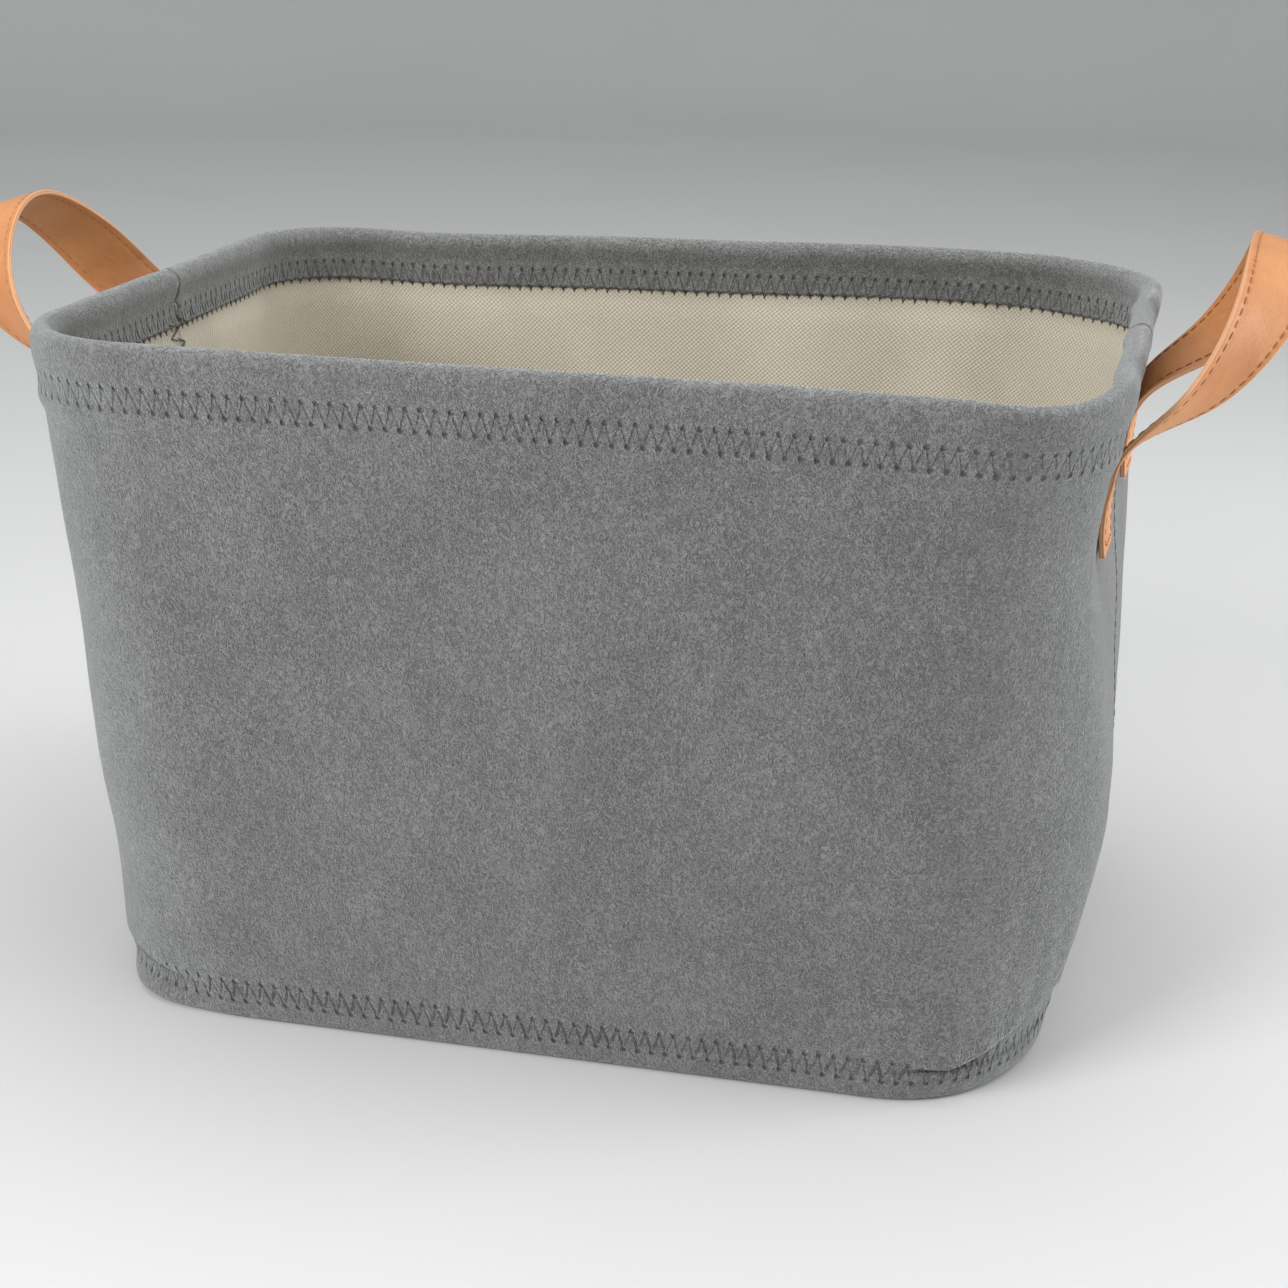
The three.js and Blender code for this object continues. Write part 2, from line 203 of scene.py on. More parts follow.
def side_weights(s):
    """How much a place belongs to each wall and to a corner, and where it is from above."""
    turn, share_x, share_y = outline_terms(s)
    x_side, y_side = np.cos(turn), np.sin(turn)
    y = share_y * REF_Y + REF_RADIUS * y_side
    x = share_x * REF_X + REF_RADIUS * x_side
    return {
        "right": np.clip(x_side, 0, 1) ** 3,
        "left": np.clip(-x_side, 0, 1) ** 3,
        "front": np.clip(-y_side, 0, 1) ** 3,
        "back": np.clip(y_side, 0, 1) ** 3,
        "corner": np.abs(np.sin(2 * turn)),
        "turn": turn,
        "x": x,
        "y": y,
    }


def left_corner_weight(turn, degrees):
    """How much a place belongs to the left front corner, told by the normal's turn."""
    return np.clip(np.cos(turn - math.radians(degrees)), 0, 1) ** 4


def wall_sway(s, z):
    """How far every layer of the soft wall stands out from the CAD outline."""
    w = side_weights(s)
    x, y = w["x"], w["y"]
    right, left, front, back = w["right"], w["left"], w["front"], w["back"]
    middle = 1 - smooth(55, 105, np.abs(y))
    slant = right * smooth(60, 225, z) * (0.045 * y - 0.6)
    waist = -middle * (4.3 * right + 5.5 * left) * hump(z, 195, 38) - 0.8 * (front + back) * hump(z, 190, 36)
    belly = 3.2 * right * hump(z, 88, 34) + (1.4 * front + 1.2 * back) * hump(z, 70, 38)
    belly = belly + 1.4 * right * smooth(55, 85, z) * (1 - smooth(150, 190, z))
    belly = belly + 2.6 * right * hump(z, 31, 17) * smooth(-104, -78, y)
    left_corner = left_corner_weight(w["turn"], 207)
    upright = left_corner * (3.2 * hump(z, 190, 40) - 3.7 * hump(z, 44, 36))
    tuck = -6.2 * right * (1 - smooth(24, 66, z)) + 1.2 * front * (1 - smooth(20, 60, z))
    tuck = tuck + 2.6 * hump(w["turn"], math.radians(295), 0.4) * (1 - smooth(16, 50, z))
    hem = (1.1 + 0.5 * left_corner) * smooth(213, 221, z)
    pull = -right * hump(z, 186, 34) * (2.9 * hump(y, -82, 34) + 1.3 * hump(y, 48, 20))
    folds = 0.55 * lattice_noise(s, z, 46, 90, 3) * (1 - 0.6 * smooth(200, 225, z))
    dents = 0.35 * lattice_noise(s, z, 19, 24, 4)
    creases = -1.4 * right * smooth(224, 240, z) * (hump(y, 50, 5) + 0.8 * hump(y, -7, 6))
    return slant + waist + belly + upright + tuck + hem + pull + creases + (folds + dents) * smooth(6, 34, z)


def corner_weight(s):
    return smooth(0.2, 0.95, side_weights(s)["corner"])


def fold_weight(s):
    """The right front corner, where the slack wall hangs in a fold over the base."""
    turn = np.degrees(outline_terms(s)[0])
    return smooth(281, 297, turn) * (1 - smooth(334, 356, turn))


def crease_height(s):
    """Height where the wall folds in to the base: near the seam, climbing round the right front corner."""
    turn = np.degrees(outline_terms(s)[0])
    climb = smooth(285, 340, turn)
    return CREASE_Z + 1.4 * corner_weight(s) * (1 - climb) + CREASE_CLIMB * climb


def wall_overhang(s, z):
    """At the corners the slack wall bulges out over the seam and folds in beneath the bulge."""
    crease = crease_height(s)
    slack = np.maximum(0.28 * corner_weight(s), fold_weight(s))
    pucker = 0.35 * np.sin(2 * np.pi * s / 11.0 + 2.0 * lattice_noise(s, z, 30, 60, 8))
    bulge = smooth(crease - 0.6, crease + 1.8, z) * (1 - smooth(crease + 6, crease + 44, z))
    return slack * ((FOLD_OUT + pucker) * bulge - FOLD_IN * hump(z, crease - 2.0, 3.0))


def fold_drop(s, z):
    """How far the lip of the fold hangs down."""
    left_corner = left_corner_weight(outline_terms(s)[0], 215)
    lip = hump(z, crease_height(s) + 2.2, 2.3)
    return 3.0 * fold_weight(s) * lip + 2.6 * left_corner * hump(z, 11, 7)


def velour_points(s, z, inset):
    points = place(s, z, inset, wall_overhang(s, z))
    points[..., 2] -= fold_drop(s, z)
    return points


def flange_flare(s, z):
    """The base's turned-up edge: it spreads at the corners, most of all at the left front one."""
    turn = np.degrees(outline_terms(s)[0])
    spread = 5.0 * hump(turn, 238, 17) * hump(z, 2.6, 3.6) - 2.2 * hump(turn, 205, 13) * hump(z, 4, 7)
    return corner_weight(s) * (1 - hump(turn, 225, 30)) * hump(z, 5, 4) + spread


def rim_sag(s, z):
    """How much the upper wall and the rim rise and dip."""
    w = side_weights(s)
    creases = w["right"] * (hump(w["y"], 50, 6) + 0.7 * hump(w["y"], -7, 7))
    level = w["back"] * (2.4 * hump(w["x"], 88, 60) - 2.6 * hump(w["x"], -112, 60))
    level = level - 2.6 * hump(w["turn"], math.radians(305), 0.6) * smooth(60, 140, w["x"])
    ripple = 0.5 * lattice_noise(s, z, 70, 400, 12) - 0.7 * creases
    return smooth(60, 240, z) * level + smooth(222, 240, z) * ripple


def place(s, z, inset, stand=None):
    """Points of the wall: distance round, height, distance in from the outline, extra stand-out."""
    s, z, inset = np.broadcast_arrays(np.asarray(s, float), np.asarray(z, float), np.asarray(inset, float))
    turn, share_x, share_y = outline_terms(s)
    half_x, half_y, radius = outline_at(np.clip(z, 0, HEIGHT))
    reach = radius - inset + wall_sway(s, z) + (0 if stand is None else stand)
    x = share_x * (half_x - radius) + reach * np.cos(turn)
    y = share_y * (half_y - radius) + reach * np.sin(turn)
    return np.stack([x, y, z + rim_sag(s, z)], axis=-1)


# Unrolled profiles of the velour: [inset, height] along the outer face and along the inner face.

def seam_pinch(z):
    return 0.42 * hump(z, RIM_SEAM_Z, 3.4)


def hem_ridge(z):
    return 0.45 * hump(z, 236, 4.5) + 0.3 * hump(z, 219, 2.6)


def outer_inset(z):
    return seam_pinch(z) - hem_ridge(z)


def hem_inset(z):
    return lerp(2 * ROLL, HEM_FACE, smooth(0, 7.5, ROLL_Z - z)) - 0.5 * hump(z, RIM_SEAM_Z, 2.6)


def wall_profile(depth):
    """The velour from its lower edge up, over the wire and down to the raw edge inside."""
    heights = np.concatenate([
        np.arange(WALL_BOTTOM_Z, FINE_BELOW, 1.1),
        np.arange(FINE_BELOW, FINE_ABOVE, 2.6),
        np.arange(FINE_ABOVE, ROLL_Z, 1.3),
    ])
    rise = np.stack([outer_inset(heights) + depth, heights], axis=-1)
    angles = np.linspace(math.pi, 0, 15)
    puff = 1 + 0.06 * np.sin(angles)
    roll = np.stack([
        ROLL + (ROLL - depth) * np.cos(angles),
        ROLL_Z + (ROLL - depth) * puff * np.sin(angles),
    ], axis=-1)
    roll[0][0] += float(outer_inset(ROLL_Z))
    drop = np.linspace(ROLL_Z - 1.2, HEM_EDGE_Z, 16)
    fall = np.stack([hem_inset(drop) - depth, drop], axis=-1)
    return np.concatenate([rise, roll, fall])


# Meshes.

def new_object(name, points, faces, material, uv=None, seam_uv=None, closed=True):
    mesh = bpy.data.meshes.new(name)
    mesh.from_pydata((np.asarray(points).reshape(-1, 3) * MM).tolist(), [], faces)
    if closed:
        shape = bmesh.new()
        shape.from_mesh(mesh)
        bmesh.ops.recalc_face_normals(shape, faces=shape.faces)
        shape.to_mesh(mesh)
        shape.free()
    corners = np.empty(len(mesh.loops), dtype=np.int64)
    mesh.loops.foreach_get("vertex_index", corners)
    for layer_name, values in (("UVMap", uv), ("Seam", seam_uv)):
        if values is not None:
            layer = mesh.uv_layers.new(name=layer_name)
            flat = np.asarray(values, dtype=np.float32).reshape(-1, 2)
            layer.data.foreach_set("uv", flat[corners].ravel())
    mesh.polygons.foreach_set("use_smooth", np.ones(len(mesh.polygons), dtype=bool))
    mesh.materials.append(material)
    obj = bpy.data.objects.new(name, mesh)
    SCENE.collection.objects.link(obj)
    return obj


def pairs(first, second):
    return np.stack(np.broadcast_arrays(first, second), axis=-1)


def grid_quads(rows, columns, start=0, wrap=False):
    """Quads of a grid whose points are numbered row by row."""
    quads = []
    last = columns if wrap else columns - 1
    for row in range(rows - 1):
        for column in range(last):
            after = (column + 1) % columns
            a = start + row * columns
            b = a + columns
            quads.append((a + column, a + after, b + after, b + column))
    return quads


def shell_faces(rows, columns, wrap=False):
    """Faces of two parallel grids joined along their open edges."""
    second = rows * columns
    faces = grid_quads(rows, columns, wrap=wrap)
    faces += [tuple(reversed(quad)) for quad in grid_quads(rows, columns, start=second, wrap=wrap)]
    edge = []
    if not wrap:
        edge.append([row * columns for row in range(rows)])
        edge.append([row * columns + columns - 1 for row in range(rows)])
    around = list(range(columns)) + ([0] if wrap else [])
    edge += [around, [(rows - 1) * columns + column for column in around]]
    for line in edge:
        faces += [(a, b, b + second, a + second) for a, b in zip(line, line[1:])]
    return faces


def shell(name, outer, inner, material, uv, seam_uv=None, wrap=False):
    rows, columns = outer.shape[:2]
    points = np.concatenate([outer.reshape(-1, 3), inner.reshape(-1, 3)])
    both = np.concatenate([uv.reshape(-1, 2), uv.reshape(-1, 2)])
    seam = None if seam_uv is None else np.concatenate([seam_uv.reshape(-1, 2)] * 2)
    return new_object(name, points, shell_faces(rows, columns, wrap), material, both, seam)


def distances(points):
    """Distance walked along a path, at each of its points."""
    return np.concatenate([[0], np.cumsum(np.linalg.norm(np.diff(points, axis=0), axis=-1))])


def unit(vectors):
    return vectors / np.linalg.norm(vectors, axis=-1, keepdims=True)


def relax(values, passes):
    """Even out each value with its neighbours, the ends held."""
    for _ in range(passes):
        values[1:-1] = 0.25 * values[:-2] + 0.5 * values[1:-1] + 0.25 * values[2:]


def sampled(points, walked, at):
    """A path's points at new distances along it."""
    return np.stack([np.interp(at, walked, points[:, axis]) for axis in range(3)], axis=-1)


def curve_frames(path, up):
    tangent = unit(np.gradient(path, axis=0))
    side = np.cross(tangent, up)
    side /= np.maximum(np.linalg.norm(side, axis=-1, keepdims=True), 1e-9)
    return side, np.cross(side, tangent)


def tube_parts(path, up, radius, sides, start, closed=False):
    """Points and faces of a round tube along a path. radius may differ from point to point."""
    side, lift = curve_frames(path, up)
    angles = np.arange(sides) * 2 * np.pi / sides
    radius = np.broadcast_to(np.asarray(radius, float), (len(path),))[:, None, None]
    rings = path[:, None] + radius * (
        np.cos(angles)[None, :, None] * side[:, None] + np.sin(angles)[None, :, None] * lift[:, None]
    )
    faces = grid_quads(len(path), sides, start, wrap=True)
    end = start + (len(path) - 1) * sides
    if closed:
        faces += [
            (end + a, end + (a + 1) % sides, start + (a + 1) % sides, start + a) for a in range(sides)
        ]
    else:
        faces += [tuple(range(start, start + sides)), tuple(range(end, end + sides))]
    return rings.reshape(-1, 3), faces


def tubes(name, paths, ups, radii, sides, material, closed=False):
    points, faces, total = [], [], 0
    for path, up, radius in zip(paths, ups, radii):
        ring_points, ring_faces = tube_parts(path, up, radius, sides, total, closed)
        points.append(ring_points)
        faces += ring_faces
        total += len(ring_points)
    return new_object(name, np.concatenate(points), faces, material)


# Materials. Distances in these are metres, as in the UV map.

DOT_PITCH = 0.00135


def new_material(name):
    material = bpy.data.materials.new(name)
    material.use_nodes = True
    tree = material.node_tree
    shader = tree.nodes["Principled BSDF"]
    return material, tree, shader


def set_inputs(tree, node, values):
    """Each input of a node is linked to a socket or set to a value."""
    for key, value in values.items():
        if isinstance(value, bpy.types.NodeSocket):
            tree.links.new(value, node.inputs[key])
        else:
            node.inputs[key].default_value = value


def add_node(tree, kind, inputs=None, **settings):
    node = tree.nodes.new(kind)
    for key, value in settings.items():
        setattr(node, key, value)
    set_inputs(tree, node, inputs or {})
    return node


def math_node(tree, operation, a, b=0.0, c=0.0):
    return add_node(tree, "ShaderNodeMath", {0: a, 1: b, 2: c}, operation=operation).outputs[0]


def plus(tree, a, b):
    return math_node(tree, "ADD", a, b)


def times(tree, a, b):
    return math_node(tree, "MULTIPLY", a, b)


def distance_from(tree, value, centre):
    return math_node(tree, "ABSOLUTE", math_node(tree, "SUBTRACT", value, centre))


def largest(tree, values):
    result = values[0]
    for value in values[1:]:
        result = math_node(tree, "MAXIMUM", result, value)
    return result


def mix_colour(tree, factor, a, b):
    node = add_node(tree, "ShaderNodeMix", {0: factor, 6: a, 7: b}, data_type="RGBA")
    return node.outputs[2]


def noise_value(tree, vector, scale, detail=2.0, roughness=0.5, distortion=0.0):
    node = add_node(tree, "ShaderNodeTexNoise", {
        "Vector": vector,
        "Scale": scale,
        "Detail": detail,
        "Roughness": roughness,
        "Distortion": distortion,
    })
    return node.outputs["Fac"]


def ramp(tree, value, low, high, to_low=0.0, to_high=1.0):
    node = add_node(tree, "ShaderNodeMapRange", {
        "Value": value, "From Min": low, "From Max": high, "To Min": to_low, "To Max": to_high,
    })
    node.interpolation_type = "SMOOTHSTEP"
    return node.outputs["Result"]


def uv_vector(tree, name="UVMap", stretch=(1, 1, 1)):
    source = add_node(tree, "ShaderNodeUVMap", uv_map=name)
    mapping = add_node(tree, "ShaderNodeMapping", {"Vector": source.outputs["UV"], "Scale": stretch})
    return mapping.outputs["Vector"]


def object_vector(tree):
    return add_node(tree, "ShaderNodeTexCoord").outputs["Object"]


def bump_chain(tree, heights):
    """One bump after another: (height, distance in metres, strength)."""
    normal = None
    for height, distance, strength in heights:
        settings = {"Height": height, "Distance": distance, "Strength": strength}
        node = add_node(tree, "ShaderNodeBump", settings)
        if normal is not None:
            tree.links.new(normal, node.inputs["Normal"])
        normal = node.outputs["Normal"]
    return normal


def zigzag_shade_and_dents(tree):
    """From the Seam map (stitch count, height in millimetres): nearness to a stroke and to a hole, for
    painted shade and dents along the zigzag.
    """
    source = add_node(tree, "ShaderNodeUVMap", uv_map="Seam").outputs["UV"]
    split = add_node(tree, "ShaderNodeSeparateXYZ", {"Vector": source})
    phase = math_node(tree, "FRACT", split.outputs["X"])
    share = times(tree, distance_from(tree, phase, 0.5), 2.0)
    height = split.outputs["Y"]
    stroke_dent_shade, hole_dent_shade = [], []
    for low, high in (RIM_SEAM, BASE_SEAM):
        line = math_node(tree, "MULTIPLY_ADD", share, high - low, low)
        near = ramp(tree, distance_from(tree, height, line), 2.4, 0.5)
        above = ramp(tree, height, low - 0.9, low + 0.2)
        below = ramp(tree, height, high + 0.9, high - 0.2)
        stroke_dent_shade.append(times(tree, near, times(tree, above, below)))
        for tip_share, tip in ((1.0, high), (0.0, low)):
            along = times(tree, distance_from(tree, share, tip_share), STITCH)
            across = math_node(tree, "SUBTRACT", height, tip)
            squares = [math_node(tree, "POWER", length, 2.0) for length in (along, across)]
            distance = math_node(tree, "SQRT", plus(tree, *squares))
            hole_dent_shade.append(ramp(tree, distance, 1.3, 0.45))
    return largest(tree, stroke_dent_shade), largest(tree, hole_dent_shade)


def squiggles(tree, vector, scale, distortion, width):
    """Worm-like lines, where a noise field crosses its middle value."""
    field = noise_value(tree, vector, scale, 1.0, 0.5, distortion)
    return ramp(tree, distance_from(tree, field, 0.5), width, 0.0)


def velour_material():
    """Short grey pile: brushed patches, worm-like clumps of pile about a millimetre across, sheen."""
    material, tree, shader = new_material("Grey velour")
    plain = uv_vector(tree)
    ribbed = uv_vector(tree, stretch=(1.0, 0.45, 1.0))
    patches = noise_value(tree, plain, 20.0, 3.0, 0.5, 0.4)
    mottle = noise_value(tree, ribbed, 120.0, 2.0, 0.5, 0.6)
    clumps = squiggles(tree, uv_vector(tree, stretch=(1.0, 0.7, 1.0)), 610.0, 1.3, 0.15)
    curls = squiggles(tree, uv_vector(tree, stretch=(0.9, 1.0, 1.0)), 1050.0, 1.0, 0.16)
    fibres = noise_value(tree, plain, 3800.0, 2.0, 0.7, 0.5)
    brushed = ramp(tree, patches, 0.34, 0.68, 0.19, 0.33)
    shade = plus(tree, brushed, ramp(tree, mottle, 0.30, 0.72, 0.08, 0.19))
    shade = plus(tree, shade, ramp(tree, clumps, 0.0, 1.0, -0.20, 0.22))
    shade = plus(tree, shade, ramp(tree, curls, 0.0, 1.0, -0.19, 0.24))
    shade = plus(tree, shade, ramp(tree, fibres, 0.3, 0.7, -0.25, 0.27))
    colour = mix_colour(tree, shade, (0.094, 0.094, 0.091, 1), (0.268, 0.270, 0.264, 1))
    # Painted shade: the velour is darkened along the zigzag strokes and in the needle holes. The same masks
    # also dent the bump.
    stroke_dent_shade, hole_dent_shade = zigzag_shade_and_dents(tree)
    colour = mix_colour(tree, times(tree, stroke_dent_shade, 0.13), colour, (0.07, 0.07, 0.068, 1))
    colour = mix_colour(tree, times(tree, hole_dent_shade, 0.64), colour, (0.03, 0.03, 0.03, 1))
    dip = plus(tree, times(tree, stroke_dent_shade, -0.5), times(tree, hole_dent_shade, -1.0))
    normal = bump_chain(tree, [
        (mottle, 0.0010, 0.3),
        (clumps, 0.0005, 0.7),
        (curls, 0.0003, 0.6),
        (fibres, 0.0002, 0.35),
        (dip, 0.0010, 0.8),
    ])
    set_inputs(tree, shader, {
        "Base Color": colour,
        "Normal": normal,
        "Roughness": 0.95,
        "Specular IOR Level": 0.2,
        "Sheen Weight": 0.7,
        "Sheen Roughness": 0.42,
        "Sheen Tint": (0.86, 0.90, 0.92, 1),
    })
    return material


def lining_material():
    """Beige cloth embossed with a diagonal grid of small dots."""
    material, tree, shader = new_material("Beige lining")
    source = add_node(tree, "ShaderNodeUVMap", uv_map="UVMap").outputs["UV"]
    turned = add_node(tree, "ShaderNodeMapping", {"Vector": source, "Rotation": (0, 0, math.radians(45))})
    split = add_node(tree, "ShaderNodeSeparateXYZ", {"Vector": turned.outputs["Vector"]})
    spacing = 2 * math.pi / DOT_PITCH
    waves = [math_node(tree, "SINE", times(tree, split.outputs[axis], spacing)) for axis in "XY"]
    dots = math_node(tree, "MULTIPLY_ADD", plus(tree, *waves), 0.25, 0.5)
    plain = uv_vector(tree)
    wear = noise_value(tree, plain, 18.0, 3.0, 0.5, 0.3)
    fibre = noise_value(tree, plain, 1600.0, 2.0, 0.6, 0.2)
    shade = plus(tree, ramp(tree, dots, 0.12, 0.72, 0.0, 0.62), ramp(tree, wear, 0.35, 0.65, 0.0, 0.25))
    shade = plus(tree, shade, ramp(tree, fibre, 0.3, 0.7, -0.08, 0.12))
    colour = mix_colour(tree, shade, (0.39, 0.352, 0.276, 1), (0.66, 0.61, 0.505, 1))
    normal = bump_chain(tree, [(dots, 0.0005, 0.7), (fibre, 0.0002, 0.3)])
    set_inputs(tree, shader, {
        "Base Color": colour,
        "Normal": normal,
        "Roughness": 0.82,
        "Specular IOR Level": 0.3,
        "Sheen Weight": 0.12,
    })
    return material


def leather_material(name, dark, light, edge):
    """Smooth tan leather: fine pores, slow colour drift, paler worn edges."""
    material, tree, shader = new_material(name)
    plain = uv_vector(tree)
    source = add_node(tree, "ShaderNodeUVMap", uv_map="UVMap").outputs["UV"]
    across = add_node(tree, "ShaderNodeSeparateXYZ", {"Vector": source}).outputs["Y"]
    drift = noise_value(tree, plain, 28.0, 3.0, 0.55, 0.4)
    pores = add_node(tree, "ShaderNodeTexVoronoi", {"Vector": plain, "Scale": 1500.0}).outputs["Distance"]
    creases = noise_value(tree, uv_vector(tree, stretch=(0.5, 1.6, 1.0)), 420.0, 4.0, 0.6, 0.9)
    lined = ramp(tree, creases, 0.3, 0.7, -0.14, 0.16)
    shade = plus(tree, ramp(tree, drift, 0.3, 0.7, 0.05, 0.75), lined)
    colour = mix_colour(tree, shade, dark, light)
    border = ramp(tree, math_node(tree, "ABSOLUTE", across), 0.0119, 0.0125)
    colour = mix_colour(tree, times(tree, border, 0.55), colour, edge)
    normal = bump_chain(tree, [(creases, 0.0004, 0.25), (pores, 0.0002, 0.25)])
    set_inputs(tree, shader, {
        "Base Color": colour,
        "Normal": normal,
        "Roughness": ramp(tree, creases, 0.3, 0.7, 0.46, 0.62),
        "Specular IOR Level": 0.42,
    })
    return material


def thread_material(name, dark, light):
    """Spun yarn: fine mottling and a slow fade."""
    material, tree, shader = new_material(name)
    twist = noise_value(tree, object_vector(tree), 2600.0, 2.0, 0.6, 0.8)
    fade = noise_value(tree, object_vector(tree), 160.0)
    shade = plus(tree, ramp(tree, twist, 0.3, 0.7, 0.0, 0.6), ramp(tree, fade, 0.3, 0.7, 0.0, 0.4))
    set_inputs(tree, shader, {
        "Base Color": mix_colour(tree, shade, dark, light),
        "Normal": bump_chain(tree, [(twist, 0.0002, 0.5)]),
        "Roughness": 0.72,
        "Specular IOR Level": 0.3,
    })
    return material


def felt_material():
    """Stiff bonded interlining, hidden between skin and lining."""
    material, tree, shader = new_material("Interlining felt")
    plain = uv_vector(tree)
    web = noise_value(tree, plain, 700.0, 3.0, 0.6, 1.2)
    colour = mix_colour(tree, ramp(tree, web, 0.3, 0.7), (0.6, 0.59, 0.55, 1), (0.8, 0.79, 0.75, 1))
    set_inputs(tree, shader, {
        "Base Color": colour,
        "Normal": bump_chain(tree, [(web, 0.0004, 0.5)]),
        "Roughness": 0.95,
    })
    return material


def steel_material():
    """Drawn wire with fine scratches."""
    material, tree, shader = new_material("Drawn steel")
    scratches = noise_value(tree, object_vector(tree), 900.0, 3.0, 0.6, 0.2)
    worn = ramp(tree, scratches, 0.3, 0.7)
    colour = mix_colour(tree, worn, (0.45, 0.46, 0.47, 1), (0.68, 0.69, 0.70, 1))
    set_inputs(tree, shader, {
        "Base Color": colour,
        "Roughness": ramp(tree, scratches, 0.3, 0.7, 0.28, 0.48),
        "Metallic": 1.0,
    })
    return material


def board_material():
    """Grey-brown pressed fibreboard."""
    material, tree, shader = new_material("Fibreboard")
    chips = noise_value(tree, object_vector(tree), 420.0, 4.0, 0.65, 0.8)
    colour = mix_colour(tree, ramp(tree, chips, 0.3, 0.7), (0.22, 0.16, 0.10, 1), (0.45, 0.35, 0.24, 1))
    set_inputs(tree, shader, {
        "Base Color": colour,
        "Normal": bump_chain(tree, [(chips, 0.0004, 0.4)]),
        "Roughness": 0.85,
    })
    return material


VELOUR_LOOK = velour_material()
LINING_LOOK = lining_material()
LEATHER_LOOK = leather_material(
    "Tan leather", (0.48, 0.190, 0.063, 1), (0.62, 0.280, 0.111, 1), (0.74, 0.43, 0.25, 1)
)
# The back layer is the same tan leather, made darker as painted shade on the face turned to the wall.
SHADED_BACK_LOOK = leather_material(
    "Tan leather back in painted shade", (0.41, 0.160, 0.050, 1), (0.55, 0.240, 0.090, 1), (0.72, 0.42, 0.25, 1)
)
THREAD_LOOK = thread_material("Dark grey thread", (0.068, 0.066, 0.064, 1), (0.140, 0.137, 0.132, 1))
STRAP_THREAD_LOOK = thread_material("Rust thread", (0.30, 0.105, 0.038, 1), (0.44, 0.18, 0.07, 1))
FELT_LOOK = felt_material()
STEEL_LOOK = steel_material()
BOARD_LOOK = board_material()


# Stitch counts round the bin, even at the height of each seam.

DENSE = np.linspace(0, ROUND, 4001)


def stitch_table(z):
    """Distance s of every half stitch round the bin at one height, and the count at each dense s."""
    points = place(DENSE, np.full_like(DENSE, z), 0.0)
    walked = distances(points[:, :2])
    count = 2 * int(round(walked[-1] / (2 * STITCH)))
    tips = np.interp(np.arange(count) * walked[-1] / count, walked, DENSE)
    return tips, walked / walked[-1] * count / 2


RIM_TIPS, RIM_COUNT = stitch_table(RIM_SEAM_Z)
BASE_TIPS, BASE_COUNT = stitch_table(BASE_SEAM_Z)


def seam_map(s, z):
    """Stitch count and height, for the dents and painted shade that the thread leaves in the pile."""
    count = np.where(z > 120, np.interp(s, DENSE, RIM_COUNT), np.interp(s, DENSE, BASE_COUNT))
    return pairs(count, z)


# The bin's cloth.

def half_rows(half):
    start = 0.0 if half == "back" else ROUND / 2
    return np.linspace(start + HALF_SEAM_GAP, start + ROUND / 2 - HALF_SEAM_GAP, HALF_COLUMNS)


def build_velour(half):
    s = half_rows(half)[:, None]
    outer = wall_profile(0.0)
    inner = wall_profile(VELOUR)
    grids = [velour_points(s, profile[None, :, 1], profile[None, :, 0]) for profile in (outer, inner)]
    uv = pairs(s * MM, distances(outer)[None] * MM)
    seam = seam_map(s, outer[None, :, 1])
    velour = shell(f"{half}_velour", grids[0], grids[1], VELOUR_LOOK, uv, seam)
    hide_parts(f"{half}_outer_panel")
    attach(velour, "bin")


def layer_heights():
    return np.concatenate([
        np.arange(LAYER_BOTTOM_Z, 30, 2.4),
        np.arange(30, LAYER_TOP_Z, 4.0),
        [LAYER_TOP_Z],
    ])


def build_layer(half, kind, insets, look):
    s = half_rows(half)[:, None]
    z = layer_heights()[None]
    uv = pairs(s * MM, z * MM)
    # The inner layers give way where the skin folds in at the bottom corners.
    tuck = LAYER_TUCK * corner_weight(s) * (1 - smooth(38, 60, z))
    grids = [place(s, z, inset + tuck) for inset in insets]
    layer = shell(f"{half}_{kind}_cloth", grids[0], grids[1], look, uv)
    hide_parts(f"{half}_{kind}")
    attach(layer, "bin")


def disc_rings(profile, flare):
    """One face of a sheet on the base: rings of points from near its middle out to its edge."""
    s = np.linspace(0, ROUND, DISC_POINTS, endpoint=False)[:, None]
    inset, z = profile[:, 0][None], profile[:, 1][None]
    stand = flange_flare(s, z) if flare else None
    edge = place(s, z, inset, stand)
    shares = np.linspace(1, 0.02, DISC_RINGS + 1)[None, 1:, None]
    floor = edge[:, :1] * shares
    floor[..., 2] = z[0, 0]
    return np.concatenate([floor[:, ::-1], edge], axis=1)


def build_base():
    """The velour tray: a flat bottom, a round bend and the turned-up edge."""
    angles = np.linspace(1.5 * math.pi, math.pi, 7)
    rise = np.array([4.4, 6.2, 8.0, 9.9, FLANGE_TOP])
    sheets = []
    for depth in (0.0, VELOUR):
        radius = BASE_BEND - depth
        arc = BASE_BEND + radius * np.stack([np.cos(angles), np.sin(angles)], axis=-1)
        wall = np.stack([np.full(len(rise), depth), rise], axis=-1)
        sheets.append(disc_rings(np.concatenate([arc, wall]), True))
    outer, inner = sheets
    s = np.linspace(0, ROUND, DISC_POINTS, endpoint=False)[:, None]
    floor = np.arange(outer.shape[1]) < DISC_RINGS
    uv = outer[..., :2] * MM
    uv[:, ~floor] = pairs(s * MM, outer[..., 2] * MM)[:, ~floor]
    seam = seam_map(s, np.where(floor[None], 60.0, outer[..., 2]))
    base = disc_shell("base_velour", outer, inner, VELOUR_LOOK, uv, seam)
    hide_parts("base_panel")
    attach(base, "bin")


